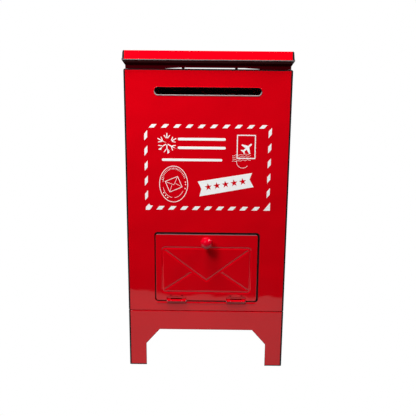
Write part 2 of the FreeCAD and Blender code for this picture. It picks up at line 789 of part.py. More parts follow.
os.makedirs("parts", exist_ok=True)
for node, shape in all_pieces().items():
    shape.exportStep(f"parts/{node}.step")
print(f"pin axes: door y {DOOR_AXIS_Y:.3f} z {DOOR_AXIS_Z:.3f}, lid y {LID_AXIS_Y:.3f} z {LID_AXIS_Z:.3f}")
print(f"front y {FRONT:.3f}, back y {BACK:.3f}")
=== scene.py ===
import json
import math

import bmesh
import bpy
from mathutils import Euler, Matrix, Vector


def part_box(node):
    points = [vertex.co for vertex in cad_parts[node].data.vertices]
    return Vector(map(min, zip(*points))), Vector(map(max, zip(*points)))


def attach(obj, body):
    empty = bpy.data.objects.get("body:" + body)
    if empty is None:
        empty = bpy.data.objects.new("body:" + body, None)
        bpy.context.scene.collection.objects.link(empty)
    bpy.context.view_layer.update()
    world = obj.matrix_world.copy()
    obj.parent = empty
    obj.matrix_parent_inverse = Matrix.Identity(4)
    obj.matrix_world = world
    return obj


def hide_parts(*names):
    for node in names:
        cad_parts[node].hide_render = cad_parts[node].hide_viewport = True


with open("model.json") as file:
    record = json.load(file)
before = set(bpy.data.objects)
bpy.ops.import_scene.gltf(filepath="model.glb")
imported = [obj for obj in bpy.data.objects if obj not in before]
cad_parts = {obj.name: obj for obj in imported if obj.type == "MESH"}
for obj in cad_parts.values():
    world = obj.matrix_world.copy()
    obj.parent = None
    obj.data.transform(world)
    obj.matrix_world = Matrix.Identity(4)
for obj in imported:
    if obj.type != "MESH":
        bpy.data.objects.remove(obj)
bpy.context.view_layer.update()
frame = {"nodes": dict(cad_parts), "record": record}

MM = 0.001

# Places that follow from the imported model. The front is the leg base's: the case's own
# front panel has beads that stand proud of it.
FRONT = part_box("front_leg_skirt")[0].y
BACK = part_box("back_panel")[1].y
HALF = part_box("front_panel")[1].x
CASE_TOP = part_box("front_panel")[1].z
door_low, door_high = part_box("door_panel")
knob_low, knob_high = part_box("door_knob")
cover_low, cover_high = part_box("lid_cover")
DOOR_HALF = door_high.x
DOOR_MIDDLE = (door_high.z + door_low.z) / 2
DOOR_HALF_HEIGHT = (door_high.z - door_low.z) / 2
SHEET = 0.8 * MM
HAIR = 0.01 * MM

# Slot, opening, door and arch outlines, as in the design
SLOT_Z = 373.0 * MM
SLOT_HALF = 66.5 * MM
SLOT_RADIUS = 4.5 * MM
OPENING_HALF = 68.9 * MM
OPENING_BOTTOM = 93.9 * MM
OPENING_TOP = 190.1 * MM
OPENING_RADIUS = 4.0 * MM
DOOR_RADIUS = 3.0 * MM
LEG_WIDTH = 23.5 * MM
LEG_TOP = 32.0 * MM
ARCH_TOP = 53.1 * MM
ARCH_CHAMFER = 18.5 * MM
LIP_BOTTOM = 409.8 * MM

# Widths of the black-painted edges
CORNER_PAINT = 2.4 * MM
# Along the case's top edge the black is painted shade, under the lid's overhang
TOP_PAINTED_SHADE = 1.5 * MM
SLOT_PAINT = 0.8 * MM
OPENING_PAINT = 0.55 * MM
DOOR_PAINT = 0.25 * MM
ARCH_PAINT = 0.35 * MM
FOOT_PAINT = 1.3 * MM

# The opening's black paint reaches further on its upper and right sides, as painted shade in the
# gaps there, which lie in shadow of the lights from the upper left
OPENING_SHADE_SHIFT = 0.5 * MM

# The lid's sides and front above its hemmed lip, and how far up the lip is black
LID_SIDE_INSET = 0.8 * MM
LID_FRONT_INSET = 3.4 * MM
LIP_PAINT_TOP = 411.5 * MM
LIP_BACK_GAP = 2.0 * MM

# Painted highlights: grey lines on edges that face up and catch the light
LIP_HIGHLIGHT_LOW = 410.4 * MM
LIP_HIGHLIGHT_HIGH = 411.3 * MM
LIP_HIGHLIGHT_REACH = 3.0 * MM
LIP_HIGHLIGHT_SHARE = 0.75
DOOR_HIGHLIGHT = 0.9 * MM
DOOR_HIGHLIGHT_SHARE = 0.8
SLOT_HIGHLIGHT_REACH = 0.2 * MM
SLOT_HIGHLIGHT_INSIDE = 0.3 * MM
SLOT_HIGHLIGHT_DROP = 0.5 * MM
SLOT_HIGHLIGHT_SOFT = 2.0 * MM
SLOT_HIGHLIGHT_DEPTH = 0.3 * MM
LIP_HIGHLIGHT_SOFT = 0.2 * MM
DOOR_HIGHLIGHT_SOFT = 0.15 * MM

# How far a hand-painted line strays
WOBBLE = 0.25 * MM
TOP_SHADE_WOBBLE = 0.15 * MM
FINE_WOBBLE = 0.1 * MM


# Camera

CAMERA_LENS = 51.05
CAMERA_SENSOR = 36
CAMERA_DISTANCE = 0.7464
CAMERA_RISE = 2.5 * MM
CAMERA_SIDE = 7.0 * MM
CAMERA_PITCH = math.radians(13.43)
CAMERA_YAW = math.radians(0.43)
CAMERA_ROLL = math.radians(0.53)


def make_camera():
    """A camera just above the level of the case's top, looking down at the front."""
    data = bpy.data.cameras.new("camera")
    data.lens = CAMERA_LENS
    data.sensor_width = CAMERA_SENSOR
    camera = bpy.data.objects.new("camera", data)
    bpy.context.scene.collection.objects.link(camera)
    aim = Euler((math.pi / 2 - CAMERA_PITCH, 0, CAMERA_YAW)).to_matrix()
    roll = Matrix.Rotation(CAMERA_ROLL, 3, "Z")
    place = Vector((CAMERA_SIDE, FRONT - CAMERA_DISTANCE, CASE_TOP + CAMERA_RISE))
    camera.matrix_world = Matrix.Translation(place) @ (aim @ roll).to_4x4()
    bpy.context.scene.camera = camera


# Shader helpers

SOFT_EDGE = 0.1 * MM


class Shader:
    """A material's node tree, with short calls for the maths of a mask."""

    def __init__(self, name, color, roughness):
        self.material = bpy.data.materials.new(name)
        self.material.use_nodes = True
        self.tree = self.material.node_tree
        self.bsdf = self.tree.nodes["Principled BSDF"]
        self.bsdf.inputs["Base Color"].default_value = (*color, 1)
        self.bsdf.inputs["Roughness"].default_value = roughness
        coordinates = self.tree.nodes.new("ShaderNodeTexCoord")
        self.point = coordinates.outputs["Object"]
        parts = self.tree.nodes.new("ShaderNodeSeparateXYZ")
        self.tree.links.new(self.point, parts.inputs[0])
        self.x, self.y, self.z = parts.outputs

    def put(self, value, socket):
        """Sets a number or colour on a socket, or links another socket to it."""
        if isinstance(value, bpy.types.NodeSocket):
            self.tree.links.new(value, socket)
        else:
            socket.default_value = value

    def math(self, operation, *values):
        """The result of a Math node on numbers or sockets."""
        node = self.tree.nodes.new("ShaderNodeMath")
        node.operation = operation
        for socket, value in zip(node.inputs, values):
            self.put(value, socket)
        return node.outputs[0]

    def most(self, *values):
        """The greatest of several values."""
        result = values[0]
        for value in values[1:]:
            result = self.math("MAXIMUM", result, value)
        return result

    def least(self, *values):
        """The least of several values."""
        result = values[0]
        for value in values[1:]:
            result = self.math("MINIMUM", result, value)
        return result

    def above(self, value, limit, soft=SOFT_EDGE):
        """1 where value is over limit, 0 where it is under, with a soft step."""
        node = self.tree.nodes.new("ShaderNodeMapRange")
        node.interpolation_type = "SMOOTHSTEP"
        self.put(value, node.inputs["Value"])
        node.inputs["From Min"].default_value = limit - soft
        node.inputs["From Max"].default_value = limit + soft
        return node.outputs[0]

    def below(self, value, limit, soft=SOFT_EDGE):
        """1 where value is under limit, 0 where it is over."""
        return self.math("SUBTRACT", 1.0, self.above(value, limit, soft))

    def between(self, value, low, high, soft=SOFT_EDGE):
        """1 where value lies from low to high."""
        return self.least(self.above(value, low, soft), self.below(value, high, soft))

    def noise(self, scale, detail=3.0, roughness=0.5, stretch=None):
        """A noise from 0 to 1 in the object's own space."""
        node = self.tree.nodes.new("ShaderNodeTexNoise")
        node.inputs["Scale"].default_value = scale
        node.inputs["Detail"].default_value = detail
        node.inputs["Roughness"].default_value = roughness
        source = self.point
        if stretch:
            mapping = self.tree.nodes.new("ShaderNodeMapping")
            mapping.inputs["Scale"].default_value = stretch
            self.tree.links.new(self.point, mapping.inputs["Vector"])
            source = mapping.outputs[0]
        self.tree.links.new(source, node.inputs["Vector"])
        return node.outputs[0]

    def spread(self, value, low, high):
        """A value from 0 to 1 moved to the range low to high."""
        return self.math("MULTIPLY_ADD", value, high - low, low)

    def mix(self, factor, a, b):
        """Colour a where the factor is 0 and colour b where it is 1."""
        node = self.tree.nodes.new("ShaderNodeMix")
        node.data_type = "RGBA"
        # A Mix node keeps its colours in sockets 6 and 7 and its mixed colour in output 2
        self.put(factor, node.inputs[0])
        self.put(a if isinstance(a, bpy.types.NodeSocket) else (*a, 1), node.inputs[6])
        self.put(b if isinstance(b, bpy.types.NodeSocket) else (*b, 1), node.inputs[7])
        return node.outputs[2]

    def bump(self, height, strength, distance, under=None):
        """A normal for a height, on top of another bump if one is given."""
        node = self.tree.nodes.new("ShaderNodeBump")
        node.inputs["Strength"].default_value = strength
        node.inputs["Distance"].default_value = distance
        self.tree.links.new(height, node.inputs["Height"])
        if under:
            self.tree.links.new(under, node.inputs["Normal"])
        return node.outputs[0]

    def surface(self, color, roughness, normal=None):
        """Puts a colour and a roughness on the shader, and a normal if one is given."""
        self.put(color, self.bsdf.inputs["Base Color"])
        self.put(roughness, self.bsdf.inputs["Roughness"])
        if normal:
            self.put(normal, self.bsdf.inputs["Normal"])

    def rounded_box(self, a, b, centre_b, half_a, half_b, radius):
        """Signed distance from a rounded rectangle, negative inside."""
        da = self.math("SUBTRACT", self.math("ABSOLUTE", a), half_a - radius)
        rise = self.math("ABSOLUTE", self.math("SUBTRACT", b, centre_b))
        db = self.math("SUBTRACT", rise, half_b - radius)
        outside_a = self.math("MAXIMUM", da, 0.0)
        outside_b = self.math("MAXIMUM", db, 0.0)
        square = self.math("MULTIPLY_ADD", outside_b, outside_b, self.math("POWER", outside_a, 2.0))
        length = self.math("SQRT", square)
        inside = self.math("MINIMUM", self.math("MAXIMUM", da, db), 0.0)
        return self.math("SUBTRACT", self.math("ADD", length, inside), radius)


# Paints

RED = (0.66, 0.0, 0.0060)
DEEP_RED = (0.61, 0.0, 0.0048)
# Dark reds for the neck under the lid's lip: painted shade, as that band lies in the lid's shadow
SHADED_NECK_RED = (0.065, 0.0, 0.003)
SHADED_NECK_RED_DEEP = (0.05, 0.0, 0.002)
KNOB_RED = (0.58, 0.0, 0.012)
KNOB_RED_BRIGHT = (0.62, 0.0, 0.013)
KNOB_RED_DEEP = (0.52, 0.0, 0.008)
BLACK_PAINT = (0.014, 0.011, 0.012)
BLACK_DEEP = (0.006, 0.005, 0.005)
# Greys for painted highlights on edges that catch the light
HIGHLIGHT_GREY = (0.30, 0.26, 0.26)
DOOR_HIGHLIGHT_GREY = (0.13, 0.10, 0.11)
ZINC = (0.62, 0.63, 0.65)
ZINC_DARK = (0.48, 0.49, 0.51)
ZINC_BRIGHT = (0.74, 0.75, 0.76)
FERRITE = (0.04, 0.04, 0.045)
FERRITE_DARK = (0.025, 0.025, 0.03)
FERRITE_BRIGHT = (0.07, 0.07, 0.075)
RUBBER = (0.02, 0.02, 0.02)
RUBBER_DARK = (0.014, 0.014, 0.014)
RUBBER_BRIGHT = (0.04, 0.04, 0.04)
INK_WHITE = (0.95, 0.95, 0.94)
PLAIN_SPECULAR = 0.5
SHADED_NECK_SPECULAR = 0.12
BLACK_SPECULAR = 0.05
BLACK_ROUGHER = 0.14
ENAMEL_IOR = 1.46
ENAMEL_ROUGHNESS = 0.12
CHIP_LEVEL = 0.30
CHIP_SOFT = 0.04
INK_WEAR_LEVEL = 0.60
INK_WEAR_SOFT = 0.05
INK_WEAR_SHARE = 0.22
WAVE_HEIGHT = 0.7 * MM
RIPPLE_HEIGHT = 0.6 * MM
PEEL_HEIGHT = 0.05 * MM
PEEL_STRENGTH = 0.05
FRONT_WAVES = 1.8
LID_WAVES = 0.3
BRUSH_STRETCH = (1, 1, 9)
BRUSH_HEIGHT = 0.05 * MM
GRAIN_HEIGHT = 0.08 * MM
KNOB_IOR = 1.5
KNOB_ROUGHNESS = 0.04
KNOB_TINT = (1.0, 0.4, 0.45, 1.0)
KNOB_COAT = 0.35
KNOB_COAT_ROUGHNESS = 0.03


def enamel(
    name,
    edge_mask=None,
    color=RED,
    deep=DEEP_RED,
    waves=1.0,
    highlight_mask=None,
    worn=HIGHLIGHT_GREY,
    specular=PLAIN_SPECULAR,
):
    """Glossy enamel on sheet steel: slight waves, orange peel, black-painted edges, grey painted
    highlights.
    """
    shader = Shader(name, color, ENAMEL_ROUGHNESS)
    shader.bsdf.inputs["IOR"].default_value = ENAMEL_IOR
    shader.bsdf.inputs["Specular IOR Level"].default_value = specular
    cloud = shader.noise(14.0, detail=4.0, roughness=0.6)
    paint = shader.mix(shader.spread(cloud, 0.15, 0.85), color, deep)
    gloss = shader.spread(shader.noise(55.0, detail=5.0, roughness=0.65), 0.02, 0.09)
    if edge_mask:
        mask = edge_mask(shader)
        chips = shader.above(shader.noise(900.0, roughness=0.6), CHIP_LEVEL, CHIP_SOFT)
        mask = shader.math("MULTIPLY", mask, chips)
        paint = shader.mix(mask, paint, BLACK_PAINT)
        gloss = shader.math("MULTIPLY_ADD", mask, BLACK_ROUGHER, gloss)
        dull = shader.spread(mask, PLAIN_SPECULAR, BLACK_SPECULAR)
        shader.put(dull, shader.bsdf.inputs["Specular IOR Level"])
    # Grey painted highlight, laid on edges that catch the light
    if highlight_mask:
        paint = shader.mix(highlight_mask(shader), paint, worn)
    dents = shader.noise(9.0, detail=1.0, roughness=0.4)
    ripples = shader.noise(26.0, detail=1.0, roughness=0.4)
    peel = shader.noise(520.0, detail=2.0)
    wavy = shader.bump(dents, 1.0, waves * WAVE_HEIGHT)
    wavy = shader.bump(ripples, 1.0, waves * RIPPLE_HEIGHT, wavy)
    shader.surface(paint, gloss, shader.bump(peel, PEEL_STRENGTH, PEEL_HEIGHT, wavy))
    return shader.material


def wobble(shader, value, amount=WOBBLE):
    """A distance made uneven, as a hand-painted line is."""
    stray = shader.spread(shader.noise(120.0, detail=2.0), -amount, amount)
    return shader.math("ADD", value, stray)


def corner_mask(shader, half=HALF, front=FRONT):
    """The four upright corners of a box."""
    side = shader.above(wobble(shader, shader.math("ABSOLUTE", shader.x)), half - CORNER_PAINT)
    ahead = shader.below(wobble(shader, shader.y), front + CORNER_PAINT)
    behind = shader.above(wobble(shader, shader.y), BACK - CORNER_PAINT)
    return shader.least(side, shader.most(ahead, behind))


def slot_distance(shader):
    """Distance from the slot's outline, negative inside."""
    return shader.rounded_box(
        shader.x, shader.z, SLOT_Z, SLOT_HALF, SLOT_RADIUS, SLOT_RADIUS - HAIR
    )


def front_panel_mask(shader):
    """Corners, the rims of the slot and of the door opening, and a black band along the top edge
    that is painted shade under the lid.
    """
    slot = slot_distance(shader)
    # Shifted up and to the right, so the wider black there is painted shade
    opening = shader.rounded_box(
        shader.math("SUBTRACT", shader.x, OPENING_SHADE_SHIFT),
        shader.z,
        (OPENING_TOP + OPENING_BOTTOM) / 2 + OPENING_SHADE_SHIFT,
        OPENING_HALF,
        (OPENING_TOP - OPENING_BOTTOM) / 2,
        OPENING_RADIUS,
    )
    near_slot = shader.below(wobble(shader, slot), SLOT_PAINT)
    near_opening = shader.below(wobble(shader, opening, FINE_WOBBLE), OPENING_PAINT)
    # Black band along the top edge: painted shade under the lid
    top_painted_shade = shader.above(wobble(shader, shader.z, TOP_SHADE_WOBBLE), CASE_TOP - TOP_PAINTED_SHADE)
    return shader.most(corner_mask(shader), near_slot, near_opening, top_painted_shade)


def slot_painted_highlight(shader):
    """The lower half of the slot's rim, painted grey as a highlight where it catches the light."""
    distance = slot_distance(shader)
    near = shader.between(distance, -SLOT_HIGHLIGHT_INSIDE, SLOT_PAINT + SLOT_HIGHLIGHT_REACH)
    low = shader.below(shader.z, SLOT_Z - SLOT_HIGHLIGHT_DROP, SLOT_HIGHLIGHT_SOFT)
    outside = shader.below(shader.y, FRONT + SLOT_HIGHLIGHT_DEPTH)
    return shader.math("MULTIPLY", shader.math("MULTIPLY", near, low), outside)


def arch_mask(shader, across, centre, half):
    """The rim of an arch and the bottoms of the legs."""
    jamb = half - LEG_WIDTH
    offset = shader.math("ABSOLUTE", shader.math("SUBTRACT", across, centre))
    beside = shader.math("SUBTRACT", offset, jamb)
    over = shader.math("SUBTRACT", shader.z, ARCH_TOP)
    rise = ARCH_TOP - LEG_TOP
    slope = math.hypot(rise, ARCH_CHAMFER)
    above_leg = shader.math("SUBTRACT", shader.z, LEG_TOP)
    lift = shader.math("MULTIPLY", above_leg, ARCH_CHAMFER / slope)
    chamfer = shader.math("MULTIPLY_ADD", beside, rise / slope, lift)
    rim = shader.below(shader.most(beside, over, chamfer), ARCH_PAINT)
    foot = shader.below(wobble(shader, shader.z), FOOT_PAINT)
    return shader.most(corner_mask(shader), rim, foot)


def front_arch_mask(shader):
    """The arch in the front and back skirts."""
    return arch_mask(shader, shader.x, 0.0, HALF)


def side_arch_mask(shader):
    """The arch in the side skirts."""
    return arch_mask(shader, shader.y, (FRONT + BACK) / 2, (BACK - FRONT) / 2)


def door_mask(shader):
    """The rim of the door."""
    edge = shader.rounded_box(
        shader.x, shader.z, DOOR_MIDDLE, DOOR_HALF, DOOR_HALF_HEIGHT, DOOR_RADIUS
    )
    return shader.above(wobble(shader, edge, FINE_WOBBLE), -DOOR_PAINT)


def cover_mask(shader):
    """The lid's upright corners and its hemmed lip."""
    corners = corner_mask(shader, cover_high.x - LID_SIDE_INSET, cover_low.y + LID_FRONT_INSET)
    lip = shader.between(shader.z, LIP_BOTTOM - MM, LIP_PAINT_TOP)
    not_back = shader.below(shader.y, BACK - LIP_BACK_GAP)
    return shader.most(corners, shader.least(lip, not_back))


def lip_painted_highlight(shader):
    """The top of the lid's hemmed lip, painted grey as a highlight where it catches the light."""
    line = shader.between(shader.z, LIP_HIGHLIGHT_LOW, LIP_HIGHLIGHT_HIGH, LIP_HIGHLIGHT_SOFT)
    ahead = shader.below(shader.y, cover_low.y + LIP_HIGHLIGHT_REACH)
    return shader.math("MULTIPLY", shader.math("MULTIPLY", line, ahead), LIP_HIGHLIGHT_SHARE)


def door_painted_highlight(shader):
    """The door's top edge, painted grey as a highlight where it catches the light."""
    top = shader.above(shader.z, door_high.z - DOOR_HIGHLIGHT, DOOR_HIGHLIGHT_SOFT)
    return shader.math("MULTIPLY", top, DOOR_HIGHLIGHT_SHARE)


def black_enamel():
    """Satin black enamel, a little uneven."""
    shader = Shader("black_enamel", BLACK_PAINT, 0.4)
    cloud = shader.noise(60.0, detail=4.0, roughness=0.6)
    gloss = shader.spread(shader.noise(400.0), 0.3, 0.5)
    peel = shader.bump(shader.noise(520.0), PEEL_STRENGTH, PEEL_HEIGHT)
    shader.surface(shader.mix(cloud, BLACK_PAINT, BLACK_DEEP), gloss, peel)
    return shader.material


def zinc():
    """Zinc-plated steel, faintly brushed and spangled."""
    shader = Shader("zinc_plate", ZINC, 0.3)
    shader.bsdf.inputs["Metallic"].default_value = 1
    spangle = shader.noise(420.0, detail=4.0, roughness=0.7)
    brushed = shader.noise(700.0, detail=2.0, roughness=0.6, stretch=BRUSH_STRETCH)
    gloss = shader.spread(brushed, 0.2, 0.42)
    scratches = shader.bump(brushed, 0.12, BRUSH_HEIGHT)
    shader.surface(shader.mix(spangle, ZINC_DARK, ZINC_BRIGHT), gloss, scratches)
    return shader.material


def ferrite():
    """Dull sintered magnet."""
    shader = Shader("ferrite", FERRITE, 0.6)
    grain = shader.noise(1500.0, roughness=0.7)
    color = shader.mix(grain, FERRITE_DARK, FERRITE_BRIGHT)
    shader.surface(color, shader.spread(grain, 0.45, 0.75), shader.bump(grain, 0.3, GRAIN_HEIGHT))
    return shader.material


def rubber():
    """Matt black bumper rubber."""
    shader = Shader("bumper_rubber", RUBBER, 0.7)
    grain = shader.noise(1800.0, roughness=0.6)
    shader.surface(shader.mix(grain, RUBBER_DARK, RUBBER_BRIGHT), shader.spread(grain, 0.55, 0.8))
    return shader.material


def ink():
    """Screen-printed white enamel, a little worn."""
    shader = Shader("white_ink", INK_WHITE, 0.3)
    shader.bsdf.inputs["IOR"].default_value = ENAMEL_IOR
    specks = shader.noise(1300.0, detail=4.0, roughness=0.7)
    wear = shader.above(specks, INK_WEAR_LEVEL, INK_WEAR_SOFT)
    worn = shader.spread(wear, 0.0, INK_WEAR_SHARE)
    gloss = shader.spread(shader.noise(300.0), 0.2, 0.4)
    shader.surface(shader.mix(worn, INK_WHITE, RED), gloss)
    return shader.material


def paint_nodes():
    """Gives every CAD node its material."""
    plain = enamel("red_enamel")
    cornered = enamel("red_enamel_corners", corner_mask)
    front_arch = enamel("red_enamel_arch", front_arch_mask)
    side_arch = enamel("red_enamel_side_arch", side_arch_mask)
    # The slot's lower rim and the lid's lip get grey painted highlights
    front = enamel("red_enamel_front", front_panel_mask, waves=FRONT_WAVES, highlight_mask=slot_painted_highlight)
    lid = enamel("red_enamel_lid", cover_mask, waves=LID_WAVES, highlight_mask=lip_painted_highlight)
    # The neck under the lip: dark red and dulled, as painted shade
    painted_shade_under_lip = enamel(
        "red_enamel_under_lip", None, SHADED_NECK_RED, SHADED_NECK_RED_DEEP, specular=SHADED_NECK_SPECULAR
    )
    special = {
        "front_panel": front,
        "back_panel": cornered,
        "front_leg_skirt": front_arch,
        "back_leg_skirt": front_arch,
        "left_leg_skirt": side_arch,
        "right_leg_skirt": side_arch,
        "lid_cover": lid,
        "lid_rim": painted_shade_under_lip,
    }
    by_slot = {
        "red_enamel": plain,
        "knob_enamel": plain,
        # On the door's inner frame this black is painted shade, darkening the gap round the door
        "black_enamel": black_enamel(),
        "zinc_steel": zinc(),
        "magnet_ferrite": ferrite(),
        "bumper_rubber": rubber(),
    }
    for row in frame["record"]["subparts"]:
        name = row["node"]
        finish = special.get(name) or by_slot[row["material_slot"]]
        mesh = frame["nodes"][name].data
        mesh.materials.clear()
        mesh.materials.append(finish)


def knob_enamel():
    """Thick clear-coated enamel on the ball knob."""
    shader = Shader("knob_enamel", KNOB_RED, KNOB_ROUGHNESS)
    shader.bsdf.inputs["IOR"].default_value = KNOB_IOR
    shader.bsdf.inputs["Specular Tint"].default_value = KNOB_TINT
    shader.bsdf.inputs["Coat Weight"].default_value = KNOB_COAT
    shader.bsdf.inputs["Coat Roughness"].default_value = KNOB_COAT_ROUGHNESS
    cloud = shader.noise(160.0, roughness=0.6)
    color = shader.mix(cloud, KNOB_RED_BRIGHT, KNOB_RED_DEEP)
    shader.surface(color, KNOB_ROUGHNESS, shader.bump(shader.noise(300.0), 0.1, GRAIN_HEIGHT))
    return shader.material


# Pieces made here


def add_object(name, mesh, material, body):
    """Links a mesh as a piece that rides on a body."""
    piece = bpy.data.objects.new(name, mesh)
    bpy.context.scene.collection.objects.link(piece)
    mesh.materials.clear()
    mesh.materials.append(material)
    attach(piece, body)
    return piece


# Door

ENVELOPE_HALF = 58.3 * MM
ENVELOPE_BOTTOM = 107.5 * MM
ENVELOPE_TOP = 169.5 * MM
ENVELOPE_RADIUS = 3.5 * MM
FLAP_HALF = 54.3 * MM
FLAP_TOP = 165.5 * MM
FLAP_TIP = 123.8 * MM
FOLDS = ((55.0 * MM, 110.8 * MM), (21.0 * MM, 134.3 * MM))
GROOVE_HALF = 1.7 * MM
GROOVE_DEPTH = 0.75 * MM
DOOR_EDGE_ROUND = 0.8 * MM
DOOR_STEP = 0.6 * MM
GRID_CLEAR = 0.4
DOOR_ROUND_STEPS = (0.0, 0.1, 0.3, 0.6, 1.0)

# Windows in the door's lower edge for the hinges' barrels
WINDOW_HALF = 12.9 * MM
WINDOW_TOP = 100.4 * MM
HINGE_X = 40.0 * MM
FLANGE_DEPTH = 4.0 * MM


def segment_distance(x, z, start, stop):
    """Distance from a point to a straight stretch."""
    ax, az = start
    dx, dz = stop[0] - ax, stop[1] - az
    share = ((x - ax) * dx + (z - az) * dz) / (dx * dx + dz * dz)
    share = min(max(share, 0.0), 1.0)
    return math.hypot(x - ax - share * dx, z - az - share * dz)


def rounded_distance(x, z, centre_z, half_x, half_z, radius):
    """Signed distance from a rounded rectangle, negative inside."""
    dx = abs(x) - half_x + radius
    dz = abs(z - centre_z) - half_z + radius
    outside = math.hypot(max(dx, 0.0), max(dz, 0.0))
    return outside + min(max(dx, dz), 0.0) - radius


def groove_depth(distance):
    """Depth of the pressed groove at a distance from its middle line."""
    if distance >= GROOVE_HALF:
        return 0.0
    return GROOVE_DEPTH * (0.5 + 0.5 * math.cos(math.pi * distance / GROOVE_HALF))


def envelope_depth(x, z):
    """Depth of the pressed envelope below the door's face."""
    x = abs(x)
    middle = (ENVELOPE_TOP + ENVELOPE_BOTTOM) / 2
    half = (ENVELOPE_TOP - ENVELOPE_BOTTOM) / 2
    outline = abs(rounded_distance(x, z, middle, ENVELOPE_HALF, half, ENVELOPE_RADIUS))
    flap = segment_distance(x, z, (FLAP_HALF, FLAP_TOP), (0.0, FLAP_TIP))
    fold = segment_distance(x, z, *FOLDS)
    return groove_depth(min(outline, flap, fold))


def grid_lines(low, high, step, extra):
    """Evenly spaced places from low to high, with extra ones put in for those close to them."""
    count = round((high - low) / step)
    even = [low + (high - low) * index / count for index in range(count + 1)]
    clear = GRID_CLEAR * step
    kept = [place for place in even if all(abs(place - other) > clear for other in extra)]
    return sorted(kept + list(extra))


def pull_to_corner(x, z):
    """Draws the grid's square corners in to the door's round ones."""
    dx = abs(x) - DOOR_HALF + DOOR_RADIUS
    dz = abs(z - DOOR_MIDDLE) - DOOR_HALF_HEIGHT + DOOR_RADIUS
    if dx <= 0 or dz <= 0:
        return x, z
    share = max(dx, dz) / math.hypot(dx, dz)
    new_x = math.copysign(DOOR_HALF - DOOR_RADIUS + dx * share, x)
    rise = DOOR_HALF_HEIGHT - DOOR_RADIUS + dz * share
    return new_x, DOOR_MIDDLE + math.copysign(rise, z - DOOR_MIDDLE)


def in_window(x, z, slack=0.0):
    """Whether a place on the door lies in a hinge window."""
    return abs(abs(x) - HINGE_X) < WINDOW_HALF + slack and z < WINDOW_TOP + slack


def turns_back(edge):
    """Whether a boundary edge of the door gets a flange: all do, save those at the windows."""
    places = [vert.co for vert in edge.verts]
    if not edge.is_boundary or min(place.z for place in places) <= WINDOW_TOP - HAIR:
        return False
    return not all(in_window(place.x, place.z, HAIR) for place in places)


def make_door(material):
    """The pressed door skin, with turned-back edges and the envelope sunk in it."""
    rims = [DOOR_EDGE_ROUND * share for share in DOOR_ROUND_STEPS]
    edges_x = [side * (DOOR_HALF - rim) for rim in rims for side in (-1, 1)]
    windows_x = [side * HINGE_X + end * WINDOW_HALF for side in (-1, 1) for end in (-1, 1)]
    xs = grid_lines(-DOOR_HALF, DOOR_HALF, DOOR_STEP, edges_x + windows_x)
    edges_z = [DOOR_MIDDLE + side * (DOOR_HALF_HEIGHT - rim) for rim in rims for side in (-1, 1)]
    zs = grid_lines(door_low.z, door_high.z, DOOR_STEP, edges_z + [WINDOW_TOP])
    mesh = bmesh.new()
    grid = []
    for z in zs:
        row = []
        for x in xs:
            px, pz = pull_to_corner(x, z)
            edge = rounded_distance(px, pz, DOOR_MIDDLE, DOOR_HALF, DOOR_HALF_HEIGHT, DOOR_RADIUS)
            turn = max(0.0, DOOR_EDGE_ROUND + edge)
            back = DOOR_EDGE_ROUND - math.sqrt(max(0.0, DOOR_EDGE_ROUND**2 - turn**2))
            row.append(mesh.verts.new((px, FRONT + back + envelope_depth(px, pz), pz)))
        grid.append(row)
    for i in range(len(zs) - 1):
        for j in range(len(xs) - 1):
            middle_x = (xs[j] + xs[j + 1]) / 2
            middle_z = (zs[i] + zs[i + 1]) / 2
            if not in_window(middle_x, middle_z):
                corners = (grid[i][j], grid[i][j + 1], grid[i + 1][j + 1], grid[i + 1][j])
                mesh.faces.new(corners)
    loose = [vert for vert in mesh.verts if not vert.link_faces]
    bmesh.ops.delete(mesh, geom=loose, context="VERTS")
    # Made face by face, because bmesh's own extrusion gives them in another order each run
    flanged = [edge for edge in mesh.edges if turns_back(edge)]
    behind = {}
    for edge in flanged:
        for vert in edge.verts:
            if vert not in behind:
                behind[vert] = mesh.verts.new((vert.co.x, FRONT + FLANGE_DEPTH, vert.co.z))
    for edge in flanged:
        start, stop = edge.verts
        mesh.faces.new((stop, behind[stop], behind[start], start))
    bmesh.ops.recalc_face_normals(mesh, faces=mesh.faces)
    data = bpy.data.meshes.new("door_skin")
    mesh.to_mesh(data)
    mesh.free()
    if data.polygons[len(data.polygons) // 2].normal.y > 0:
        data.flip_normals()
    for polygon in data.polygons:
        polygon.use_smooth = True
    door = add_object("door_skin", data, material, "door")
    sheet = door.modifiers.new("sheet", "SOLIDIFY")
    sheet.thickness = SHEET
    sheet.offset = -1
    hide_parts("door_panel")


# Knob

KNOB_RADIUS = 8.0 * MM
KNOB_NECK = 3.0 * MM
KNOB_MEET = KNOB_NECK + 0.4 * MM
KNOB_FOOT = 4.4 * MM
KNOB_FOOT_BEVEL = 0.2 * MM
KNOB_FOOT_BEVEL_DEPTH = 0.25 * MM
KNOB_FOOT_THICK = 0.9 * MM
KNOB_FILLET = 1.2 * MM
KNOB_FILLET_STEPS = 8
KNOB_TURNS = 64
KNOB_RINGS = 40


def knob_profile():
    """Outline (distance from the door, radius) from the knob's foot to its front."""
    reach = knob_high.y - knob_low.y - KNOB_RADIUS
    meet = math.asin(KNOB_MEET / KNOB_RADIUS)
    points = [(0.0, KNOB_FOOT - KNOB_FOOT_BEVEL), (KNOB_FOOT_BEVEL_DEPTH, KNOB_FOOT)]
    points.append((KNOB_FOOT_THICK, KNOB_FOOT))
    for index in range(KNOB_FILLET_STEPS + 1):
        angle = math.pi / 2 * index / KNOB_FILLET_STEPS
        radius = KNOB_NECK + KNOB_FILLET - KNOB_FILLET * math.sin(angle)
        points.append((KNOB_FOOT_THICK + KNOB_FILLET * (1 - math.cos(angle)), radius))
    for index in range(KNOB_RINGS + 1):
        angle = meet + (math.pi - meet) * index / KNOB_RINGS
        points.append((reach - KNOB_RADIUS * math.cos(angle), KNOB_RADIUS * math.sin(angle)))
    return points


